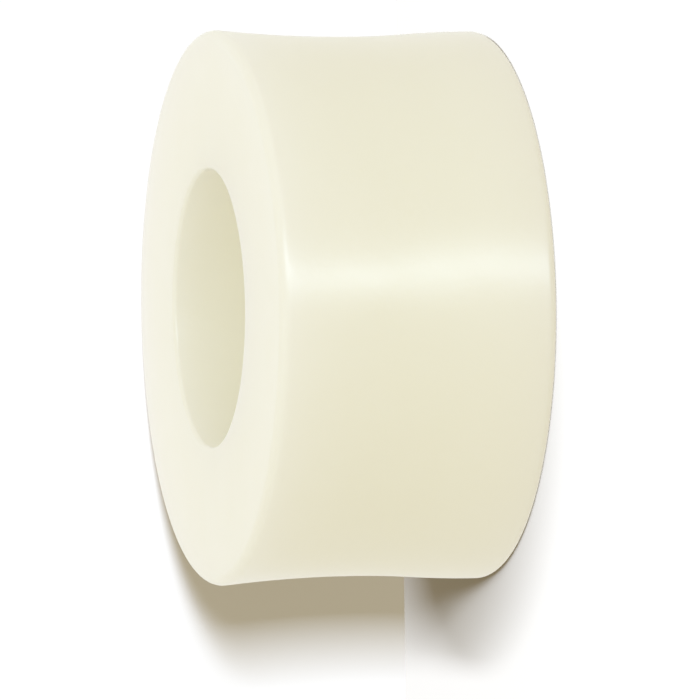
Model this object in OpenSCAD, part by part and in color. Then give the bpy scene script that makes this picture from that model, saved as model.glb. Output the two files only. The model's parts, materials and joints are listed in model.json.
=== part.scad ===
// Round unthreaded spacer, moulded in one piece from natural nylon.
// It stands on its base at z = 0 with the screw hole along +Z. The side is
// slightly waisted, as the plastic shrinks in while it cools in the mould.
// All lengths are in millimetres.

/* [Overall size] */
// Diameter over the top rim, which is the widest part
od = 12.7; // [9:0.05:25]
// Height from the base to the top face
length = 6.45; // [4:0.05:25]

/* [Screw hole] */
// Diameter of the hole, a clearance hole for a 1/4 in or M6 screw
bore_d = 6.35; // [3:0.05:9]
// Rounding where the hole meets each end face
mouth_r = 0.1; // [0.03:0.01:0.4]

/* [Side] */
// Rounding of the outer rim at each end
rim_r = 0.22; // [0.05:0.01:0.5]
// How far the side sinks in at half height, measured from the base rim
sink = 0.11; // [0.02:0.01:0.3]
// How much further the top rim stands out than the base rim, the mould's draft
draft = 0.05; // [0:0.01:0.15]

/* [Smoothness] */
// Facets around the spacer
round_steps = 96; // [24:12:180]
// Steps along each rounding or curve of the section
curve_steps = 6; // [3:1:10]

/* [Hidden] */

bore_x = bore_d / 2;
top_x = od / 2;
base_x = top_x - draft;
waist_x = base_x - sink;
waist_z = length / 2;

// Lower half of the side: two equal arcs that meet in the middle, upright at
// the base rim and upright again at the waist.
low_rise = waist_z - rim_r;
low_arc_r = (low_rise * low_rise + sink * sink) / (4 * sink);
low_turn = asin(low_rise / 2 / low_arc_r);

// Upper half: one arc, upright at the waist, that flares out until it runs
// into the rounding of the top rim without a corner.
up_rise = length - rim_r - waist_z;
up_run = top_x - waist_x;
up_arc_r = (up_rise * up_rise + up_run * up_run) / (2 * up_run) - rim_r;
up_turn = atan2(up_rise, up_arc_r + rim_r - up_run);

// Points of an arc about [x, z]. An arc that carries on from the one before
// starts at step 1, because that one has already placed the shared point.
function arc(x, z, r, from, to, first = 0) =
    [for (i = [first:curve_steps])
        let (a = from + (to - from) * i / curve_steps)
        [x + r * cos(a), z + r * sin(a)]];

// Half section of the ring, anticlockwise from the foot of the hole.
section = concat(
    arc(bore_x + mouth_r, mouth_r, mouth_r, 180, 270),
    arc(base_x - rim_r, rim_r, rim_r, 270, 360),
    arc(base_x - low_arc_r, rim_r, low_arc_r, 0, low_turn, first = 1),
    arc(waist_x + low_arc_r, waist_z, low_arc_r, 180 + low_turn, 180, first = 1),
    arc(waist_x + up_arc_r, waist_z, up_arc_r, 180, 180 - up_turn, first = 1),
    arc(top_x - rim_r, length - rim_r, rim_r, -up_turn, 90, first = 1),
    arc(bore_x + mouth_r, length - mouth_r, mouth_r, 90, 180)
);

// The whole part: the half section turned about the axis of the hole
module spacer() {
    color([0.91, 0.89, 0.80])
        rotate_extrude($fn = round_steps)
            polygon(section);
}

spacer();
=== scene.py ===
# %% [markdown]
# # A natural nylon spacer
#
# This lesson dresses one small moulded part: a short plastic ring that a screw
# passes through, to hold two plates a fixed distance apart. The real thing is a
# single piece of milky, warm white nylon, so all of its character lies in three
# things: a side that sinks in slightly, soft rims, and light that goes into the
# plastic a little way before it comes out again.
#
# The sizes come from the CAD model. Blender only adds the finish, in metres and in
# the CAD model's own frame: the base stands on z = 0 and the hole runs along +Z.

# %% The CAD model as a fixed frame
import json
from math import asin, atan2, cos, pi, radians, sin

import bmesh
import bpy
from mathutils import Matrix, Vector


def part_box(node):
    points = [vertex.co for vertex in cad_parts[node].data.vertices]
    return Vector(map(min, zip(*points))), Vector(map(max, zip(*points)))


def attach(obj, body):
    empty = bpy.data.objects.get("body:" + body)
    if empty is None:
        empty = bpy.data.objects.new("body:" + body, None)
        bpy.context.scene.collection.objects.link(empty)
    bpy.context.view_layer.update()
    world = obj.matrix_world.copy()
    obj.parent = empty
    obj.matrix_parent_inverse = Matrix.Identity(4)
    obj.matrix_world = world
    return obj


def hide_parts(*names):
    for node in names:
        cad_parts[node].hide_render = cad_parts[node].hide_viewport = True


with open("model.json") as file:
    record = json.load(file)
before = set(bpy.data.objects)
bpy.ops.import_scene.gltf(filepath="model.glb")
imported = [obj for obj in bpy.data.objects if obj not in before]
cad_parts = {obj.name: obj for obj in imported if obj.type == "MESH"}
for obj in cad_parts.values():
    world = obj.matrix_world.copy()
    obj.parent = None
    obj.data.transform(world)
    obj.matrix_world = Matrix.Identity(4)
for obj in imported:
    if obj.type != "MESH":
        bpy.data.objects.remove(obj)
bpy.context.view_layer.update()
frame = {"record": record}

MM = 0.001
low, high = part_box("spacer")
middle = (low + high) / 2
height = high.z - low.z
top_r = (high.x - low.x) / 2
bore = next(m for m in frame["record"]["mounts"] if m["name"] == "bore")
bore_r = bore["dims"]["r_mm"] * MM
print(f"spacer: {2 * top_r / MM:.2f} mm across, {height / MM:.2f} mm high, "
      f"hole {2 * bore_r / MM:.2f} mm")

# %% [markdown]
# ## The camera
#
# The spacer stands on its base, but it is easier to admire lying down, as it would
# on a bench. Turning the camera a quarter turn about its own line of sight does that
# without moving the part: +Z then points left in the picture and +X points up. A
# long lens from a fair distance keeps both rims almost the same size.

# %% A long lens, turned on its side
LOOK_DOWN = radians(15.7)  # how far the end face is turned towards the camera
LEAN = radians(-0.8)  # the part doesn't lie quite level in the picture
DISTANCE = 200 * MM
LENS = 448.0  # mm, for a sensor 36 mm wide
RIGHT_BY = 0.14 * MM  # the camera stands this far right of the part's middle
DOWN_BY = 1.0 * MM  # and this far below it, so the shadow has room

back = Vector((0, -cos(LOOK_DOWN), sin(LOOK_DOWN)))
level_right = Vector((0, -sin(LOOK_DOWN), -cos(LOOK_DOWN)))
level_up = Vector((1, 0, 0))
right = cos(LEAN) * level_right + sin(LEAN) * level_up
up = cos(LEAN) * level_up - sin(LEAN) * level_right

camera = bpy.data.objects.new("camera", bpy.data.cameras.new("camera"))
bpy.context.scene.collection.objects.link(camera)
bpy.context.scene.camera = camera
camera.data.lens = LENS
place = middle + DISTANCE * back + RIGHT_BY * right - DOWN_BY * up
turn = Matrix((right, up, back)).transposed().to_4x4()
camera.matrix_world = Matrix.Translation(place) @ turn
print("camera", [round(c / MM, 1) for c in place], "mm")

# %% [markdown]
# ## The outline of the wall
#
# A spacer is a solid of revolution, so its whole shape is in the outline of its wall.
# That outline is nothing but straight runs and arcs, and Blender can draw both from a
# single vertex: extruding it draws a straight run, and spinning it about a centre
# draws an arc. Joined end to end they make the outline with true curvature, which a
# bevelled box can't give: the side sinks in to a waist, as the plastic shrinks while it
# cools, and flares out again into the top rim without a corner.

# %% A pen that draws with one vertex
class Pen:
    """Draws a chain of edges in the XZ plane, from one vertex."""

    def __init__(self, x, z):
        self.bm = bmesh.new()
        self.tip = self.bm.verts.new((x, 0, z))

    def line(self, x, z):
        """A straight run to x, z."""
        made = bmesh.ops.extrude_vert_indiv(self.bm, verts=[self.tip])
        self.tip = made["verts"][0]
        self.tip.co = (x, 0, z)

    def arc(self, x, z, turn, steps):
        """An arc about x, z. A positive turn goes from +X towards +Z."""
        made = bmesh.ops.spin(self.bm, geom=[self.tip], cent=(x, 0, z), axis=(0, -1, 0),
                              dvec=(0, 0, 0), angle=turn, steps=steps)
        self.tip = made["geom_last"][0]


# %% The outline itself, from the foot of the hole and round
RIM_R = 0.22 * MM  # rounding of the outer rims
MOUTH_R = 0.1 * MM  # rounding where the hole meets the faces
SINK = 0.11 * MM  # how far the waist sinks in from the base rim
DRAFT = 0.05 * MM  # how much further out the top rim stands
QUARTER = pi / 2
MOUTH_STEPS = 6
RIM_STEPS = 10
SIDE_STEPS = 10  # for each of the two arcs below the waist
FLARE_STEPS = 20
LONG_RUN = 1 * MM  # straight runs longer than this are cut into short edges
CUTS = 11

base_r = top_r - DRAFT
waist_r = base_r - SINK
waist_z = height / 2
low_rise = waist_z - RIM_R
low_arc_r = (low_rise**2 + SINK**2) / (4 * SINK)
low_turn = asin(low_rise / 2 / low_arc_r)
up_rise = height - RIM_R - waist_z
up_run = top_r - waist_r
up_arc_r = (up_rise**2 + up_run**2) / (2 * up_run) - RIM_R
up_turn = atan2(up_rise, up_arc_r + RIM_R - up_run)

pen = Pen(bore_r, MOUTH_R)
pen.arc(bore_r + MOUTH_R, MOUTH_R, QUARTER, MOUTH_STEPS)
pen.line(base_r - RIM_R, 0)
pen.arc(base_r - RIM_R, RIM_R, QUARTER, RIM_STEPS)
pen.arc(base_r - low_arc_r, RIM_R, low_turn, SIDE_STEPS)
pen.arc(waist_r + low_arc_r, waist_z, -low_turn, SIDE_STEPS)
pen.arc(waist_r + up_arc_r, waist_z, -up_turn, FLARE_STEPS)
pen.arc(top_r - RIM_R, height - RIM_R, QUARTER + up_turn, RIM_STEPS)
pen.line(bore_r + MOUTH_R, height)
pen.arc(bore_r + MOUTH_R, height - MOUTH_R, QUARTER, MOUTH_STEPS)
pen.line(bore_r, MOUTH_R)
straight = [edge for edge in pen.bm.edges if edge.calc_length() > LONG_RUN]
bmesh.ops.subdivide_edges(pen.bm, edges=straight, cuts=CUTS)
print("outline:", len(pen.bm.edges), "edges, waist", round(2 * waist_r / MM, 2), "mm across")

# %% [markdown]
# ## From the outline to the ring
#
# A lathe turns the outline round the axis once, and so does a full spin. With
# `use_merge` the last copy is joined to the first, so there is no seam. Merging
# doubles closes the outline itself, and the normals are worked out again afterwards,
# because a spin doesn't know which side is the inside. It doesn't keep its faces in
# one order from run to run either, so they are sorted, and the mesh is always the same.

# %% Spin the ring
ROUND_STEPS = 288
SAME_SPOT = 0.0005 * MM  # vertices closer than this are one
MANY = 1000000  # more than the ring's vertices


def place_in_order(face):
    """A number of its own for every face, from its lowest and highest vertex."""
    numbers = [corner.index for corner in face.verts]
    return min(numbers) * MANY + max(numbers)


def spun_ring(outline, name):
    """Spins a closed outline about Z, and gives the mesh object."""
    bmesh.ops.remove_doubles(outline, verts=outline.verts, dist=SAME_SPOT)
    bmesh.ops.spin(outline, geom=outline.verts[:] + outline.edges[:], cent=(0, 0, 0),
                   axis=(0, 0, 1), dvec=(0, 0, 0), angle=2 * pi, steps=ROUND_STEPS,
                   use_merge=True)
    bmesh.ops.remove_doubles(outline, verts=outline.verts, dist=SAME_SPOT)
    bmesh.ops.recalc_face_normals(outline, faces=outline.faces)
    outline.verts.index_update()
    outline.faces.sort(key=place_in_order)
    for face in outline.faces:
        face.smooth = True
    mesh = bpy.data.meshes.new(name)
    outline.to_mesh(mesh)
    outline.free()
    ring = bpy.data.objects.new(name, mesh)
    bpy.context.scene.collection.objects.link(ring)
    return ring


spacer = spun_ring(pen.bm, "nylon_spacer")
print("ring:", len(spacer.data.polygons), "faces")

# %% Put it in the frame
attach(spacer, "root")
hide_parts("spacer")
print("on the body root, in the place of the CAD model's spacer")

# %% [markdown]
# ## A short way to write shader maths
#
# Node trees are easier to read as sums than as boxes and wires. `Wire` wraps one
# socket, so that `0.3 + 0.1 * noise` adds the Math nodes by itself, and `Nodes.add`
# makes every other node: its type, its settings, and what goes into its sockets.

# %% Wires and nodes
class Wire:
    """An output socket that can be used in sums."""

    def __init__(self, nodes, socket):
        self.nodes = nodes
        self.socket = socket

    def sum(self, operation, first, second):
        return self.nodes.add("ShaderNodeMath", {"operation": operation},
                              {0: first, 1: second})

    def __add__(self, other):
        return self.sum("ADD", self, other)

    def __radd__(self, other):
        return self.sum("ADD", other, self)

    def __mul__(self, other):
        return self.sum("MULTIPLY", self, other)

    def __rmul__(self, other):
        return self.sum("MULTIPLY", other, self)


class Nodes:
    """A node tree that is emptied and then filled by add."""

    def __init__(self, tree):
        self.tree = tree
        tree.nodes.clear()

    def add(self, kind, settings=None, inputs=None, output=0):
        """Makes a node of any kind and gives the wire of one of its outputs, if any."""
        node = self.tree.nodes.new(kind)
        for name, value in (settings or {}).items():
            setattr(node, name, value)
        for name, value in (inputs or {}).items():
            if isinstance(value, Wire):
                self.tree.links.new(value.socket, node.inputs[name])
            else:
                node.inputs[name].default_value = value
        if len(node.outputs) > 0:
            return Wire(self, node.outputs[output])

# %% [markdown]
# ## Natural nylon
#
# Undyed nylon isn't white paint. It is a milky plastic: light goes a few millimetres
# in, is scattered by the fine crystals there, and comes out warmer than it went in,
# which is why the hole stays bright and the rims have no hard shade. The Principled
# shader can do this by itself with a random walk under the surface. Half of the light
# takes that walk here and half comes back at once, as if from a white pigment, which
# keeps the rims from glowing.
#
# A mould leaves its own marks: the side is never quite true, its gloss comes and goes
# a little, and close up the skin has a fine orange peel. Three clouds of noise do
# that, each at its own size. They read Object coordinates, so they sit in the plastic
# and stay there when the spacer moves. Noise has no end, so a Mapping node can slide
# another stretch of it into the part, until its waves fall where they are wanted.

# %% Clouds of noise, sized in the part's own millimetres
WAVE_SIZE = 3.6 * MM
POLISH_SIZE = 1.1 * MM
PEEL_SIZE = 0.16 * MM
WAVE_SLIDE = (19.3 * MM, 14.9 * MM, -8.4 * MM)

nylon = bpy.data.materials.new("natural_nylon")
nylon.use_nodes = True
nodes = Nodes(nylon.node_tree)
spot = nodes.add("ShaderNodeTexCoord", None, None, "Object")


def cloud(where, size, detail):
    """Soft noise from about 0.3 to 0.7, whose lumps are size apart."""
    return nodes.add("ShaderNodeTexNoise", {"noise_dimensions": "3D"}, {
        "Vector": where,
        "Scale": 1 / size,
        "Detail": detail,
        "Roughness": 0.5,
    }, "Fac")


# The largest lumps are slid along until the highlight bends the right way.
slid = nodes.add("ShaderNodeMapping", {"vector_type": "POINT"}, {
    "Vector": spot,
    "Location": WAVE_SLIDE,
}, "Vector")

flow = cloud(slid, WAVE_SIZE, detail=1.0)  # where the melt cooled unevenly
polish = cloud(spot, POLISH_SIZE, detail=3.0)  # how well the mould was polished
peel = cloud(spot, PEEL_SIZE, detail=2.0)  # the fine orange peel of the skin
print(f"clouds of {WAVE_SIZE / MM:.1f}, {POLISH_SIZE / MM:.1f} and {PEEL_SIZE / MM:.2f} mm")

# %% The skin: waves and orange peel
WAVE_HEIGHT = 0.1 * MM
PEEL_HEIGHT = 0.0022 * MM
FULL = 1.0

waves = nodes.add("ShaderNodeBump", None, {
    "Strength": FULL,
    "Distance": WAVE_HEIGHT,
    "Height": flow,
}, "Normal")
skin = nodes.add("ShaderNodeBump", None, {
    "Strength": FULL,
    "Distance": PEEL_HEIGHT,
    "Height": peel,
    "Normal": waves,
}, "Normal")
print(f"waves {WAVE_HEIGHT / MM:.3f} mm, orange peel {PEEL_HEIGHT / MM:.4f} mm")

# %% The plastic itself
MILK = (0.846, 0.822, 0.672, 1)
CREAM = (0.834, 0.808, 0.648, 1)
FLOW_SHARE = 0.4  # how much of the tint follows the flow
POLISH_SHARE = 0.6  # and how much the polish
ROUGHNESS = 0.27
ROUGHNESS_RANGE = 0.06
NYLON_IOR = 1.53
WALK = 0.5  # the share of the light that goes in and wanders
DEPTH = 8.0 * MM  # how far it may wander in the plastic
ALL_HUES = (1.0, 1.0, 1.0)  # red, green and blue go equally deep

tint = nodes.add("ShaderNodeMix", {"data_type": "RGBA"}, {
    "Factor": FLOW_SHARE * flow + POLISH_SHARE * polish,
    "A": MILK,
    "B": CREAM,
}, "Result")
surface = nodes.add("ShaderNodeBsdfPrincipled", {"subsurface_method": "RANDOM_WALK"}, {
    "Base Color": tint,
    "Roughness": ROUGHNESS + ROUGHNESS_RANGE * polish,
    "IOR": NYLON_IOR,
    "Subsurface Weight": WALK,
    "Subsurface Radius": ALL_HUES,
    "Subsurface Scale": DEPTH,
    "Normal": skin,
})
nodes.add("ShaderNodeOutputMaterial", None, {"Surface": surface})
spacer.data.materials.append(nylon)
print("natural nylon:", len(nylon.node_tree.nodes), "nodes")

# %% [markdown]
# ## Paper to lie on
#
# The floor is what the spacer really stands on. Its face lies a hair above z = 0, as if
# the paper gave a little, so that the dark line under the rounded rim stays thin. Seen
# with the camera on its side, though, the part looks as if it lay on a bench behind it,
# so a second sheet stands there and all but touches the side, and it takes most of the
# shadow. Both are single grids that face the camera. The upright sheet is clear from
# behind, so that it is never in the way from the back.
#
# The paper looks white because its lamps are strong, not because it is pale: a
# mid-tone under a strong lamp has deep shadows, while white paper would only fill
# them again. The sheets throw no light back on the part, which has its own lamps.

# %% Two sheets of paper
def card(name, centre, across, along, size):
    """A square card round a point, that faces across x along."""
    bm = bmesh.new()
    bmesh.ops.create_grid(bm, x_segments=1, y_segments=1, size=size / 2)
    turned = Matrix((across, along, across.cross(along))).transposed().to_4x4()
    bmesh.ops.transform(bm, matrix=Matrix.Translation(centre) @ turned, verts=bm.verts)
    mesh = bpy.data.meshes.new(name)
    bm.to_mesh(mesh)
    bm.free()
    made = bpy.data.objects.new(name, mesh)
    bpy.context.scene.collection.objects.link(made)
    return made


X, Y, Z = Vector((1, 0, 0)), Vector((0, 1, 0)), Vector((0, 0, 1))
GIVE = 0.04 * MM  # how far the base sinks into the floor
GAP = 0.05 * MM  # between the side and the wall
STAGE_SIZE = 180 * MM
floor = card("floor", GIVE * Z, X, Y, STAGE_SIZE)
wall = card("wall", (top_r + GAP) * Y, X, Z, STAGE_SIZE)
print(f"two sheets, {STAGE_SIZE / MM:.0f} mm square")


# %% Paper that is clear from behind
def paper(name, tone):
    """Matt paper of one tone, seen only from its front."""
    made = bpy.data.materials.new(name)
    made.use_nodes = True
    nodes = Nodes(made.node_tree)
    front = nodes.add("ShaderNodeBsdfDiffuse", None, {"Color": (*tone, 1)})
    clear = nodes.add("ShaderNodeBsdfTransparent")
    behind = nodes.add("ShaderNodeNewGeometry", None, None, "Backfacing")
    seen = nodes.add("ShaderNodeMixShader", None, {0: behind, 1: front, 2: clear})
    nodes.add("ShaderNodeOutputMaterial", None, {"Surface": seen})
    return made


FLOOR_TONE = (0.30, 0.26, 0.20)
WALL_TONE = (0.55, 0.507, 0.43)
floor.data.materials.append(paper("floor_paper", FLOOR_TONE))
wall.data.materials.append(paper("wall_paper", WALL_TONE))
for sheet in (floor, wall):
    sheet.visible_shadow = False
    sheet.visible_diffuse = False
    sheet.visible_glossy = False
print("floor tone", FLOOR_TONE, "wall tone", WALL_TONE)

# %% [markdown]
# ## The room
#
# A milky part needs light from all round, or its far side goes dull. The world gives
# that: a warm, even glow for soft light, and plain white for whatever is seen
# directly, mirrored in gloss or seen through something clear. Standard view keeps
# colours as they are written.

# %% An even glow, and white to look at
bpy.context.scene.view_settings.view_transform = "Standard"
GLOW = (0.786, 0.743, 0.628, 1)
WHITE = (1, 1, 1, 1)

world = bpy.data.worlds.new("studio")
bpy.context.scene.world = world
world.use_nodes = True
nodes = Nodes(world.node_tree)


def either(first, second):
    """The larger of two masks."""
    return nodes.add("ShaderNodeMath", {"operation": "MAXIMUM"}, {0: first, 1: second})


to_eye = nodes.add("ShaderNodeLightPath", None, None, "Is Camera Ray")
to_gloss = nodes.add("ShaderNodeLightPath", None, None, "Is Glossy Ray")
to_glass = nodes.add("ShaderNodeLightPath", None, None, "Is Transmission Ray")
glow = nodes.add("ShaderNodeBackground", None, {"Color": GLOW, "Strength": FULL})
white = nodes.add("ShaderNodeBackground", None, {"Color": WHITE, "Strength": FULL})
room = nodes.add("ShaderNodeMixShader", None, {
    0: either(either(to_eye, to_gloss), to_glass),
    1: glow,
    2: white,
})
nodes.add("ShaderNodeOutputWorld", None, {"Surface": room})
print("glow", GLOW[:3])

# %% [markdown]
# ## Lamps
#
# A studio gives each job its own lamp. Light linking makes that easy: every lamp here
# lights one thing only, the part or one sheet, so the shadows can be shaped without
# touching the part.
#
# A lamp is described by the direction it stands in, its distance, its size, and the
# direction its height follows. A large lamp close by is soft, and a long narrow one is
# soft in one direction only.

# %% A soft rectangular lamp
def group(name, *members):
    """A collection that a lamp can be linked to."""
    made = bpy.data.collections.new(name)
    for member in members:
        made.objects.link(member)
    return made


def towards(azimuth, elevation):
    """The direction to a lamp: azimuth 0 is in front, at -Y, and 90 is at +X."""
    level = cos(radians(elevation))
    return Vector((level * sin(radians(azimuth)), -level * cos(radians(azimuth)),
                   sin(radians(elevation))))


def lamp(name, direction, distance, size, power, colour, lights, along=Z):
    """A rectangular lamp of size (width, height) that faces the part's middle."""
    light = bpy.data.lights.new(name, "AREA")
    light.shape = "RECTANGLE"
    light.size, light.size_y = size
    light.energy = power
    light.color = colour
    made = bpy.data.objects.new(name, light)
    bpy.context.scene.collection.objects.link(made)
    tall = (along - along.dot(direction) * direction).normalized()
    turned = Matrix((tall.cross(direction), tall, direction)).transposed().to_4x4()
    made.matrix_world = Matrix.Translation(middle + distance * direction) @ turned
    made.light_linking.receiver_collection = lights
    print(f"{name}: {power:.3f} W from {distance / MM:.0f} mm")
    return made


# %% [markdown]
# ## Light on the part
#
# Three soft boxes lift the front, the upper side and the back over the glow, a little
# cooler than it, so that the upper side is whiter than the lower one. They are kept
# out of the gloss, where they would draw lines on the rims.
#
# The one clear highlight, a band along the side, comes from a long strip lamp. It
# only shows in the gloss, and it leans, because the band does.

# %% The part's own lamps
the_part = group("part", spacer)
NEAR = 200 * MM
BOX = (160 * MM, 160 * MM)
LARGE_BOX = (240 * MM, 240 * MM)
STRIP = (26 * MM, 250 * MM)
STRIP_LEAN = radians(9)

front_box = lamp("front_box", towards(0, 50), NEAR, BOX, power=0.145,
                 colour=(0.67, 0.79, 1.0), lights=the_part)
side_box = lamp("side_box", towards(60, 15), NEAR, BOX, power=0.068,
                colour=(0.51, 0.645, 1.0), lights=the_part)
back_box = lamp("back_box", towards(180, 10), NEAR, LARGE_BOX, power=0.18,
                colour=(0.57, 0.63, 1.0), lights=the_part)
for box in (front_box, side_box, back_box):
    box.visible_glossy = False

strip = lamp("strip", towards(16.5, 2), NEAR, STRIP, power=0.236,
             colour=(0.63, 0.79, 1.0), lights=the_part,
             along=sin(STRIP_LEAN) * X + cos(STRIP_LEAN) * Z)
strip.visible_diffuse = False

# %% [markdown]
# ## Light on the paper
#
# The shadow falls down the picture, towards -X, so these lamps stand a little towards
# +X. The wall's lamp is narrow from left to right and longer up and down: the shadow
# keeps a firm end there and a soft lower edge. The floor has a long lamp overhead and
# a shorter, lower one in front, both stretched along Y. They blur the shadow where it
# crosses from one sheet to the other, and the lower one reaches under the rim.
#
# The glow is warm and these lamps are bluish, so that together they make the paper
# white, while the shadow, which only the glow reaches, stays warm.

# %% The paper's lamps
the_floor = group("floor", floor)
the_wall = group("wall", wall)
FAR = 400 * MM
WALL_LIGHT = (0.612, 0.727, 1.0)
FLOOR_LIGHT = (0.596, 0.719, 1.0)

before_wall = Vector((0.235, -1.0, 0.28)).normalized()
overhead = Vector((0.32, -0.42, 1.0)).normalized()
in_front = Vector((0.3, -1.4, 1.0)).normalized()
lamp("wall_lamp", before_wall, FAR, (75 * MM, 40 * MM), power=3.09,
     colour=WALL_LIGHT, lights=the_wall)
lamp("floor_top", overhead, FAR, (34 * MM, 400 * MM), power=6.5,
     colour=FLOOR_LIGHT, lights=the_floor, along=Y)
lamp("floor_front", in_front, FAR, (36 * MM, 160 * MM), power=3.7,
     colour=FLOOR_LIGHT, lights=the_floor, along=Y)
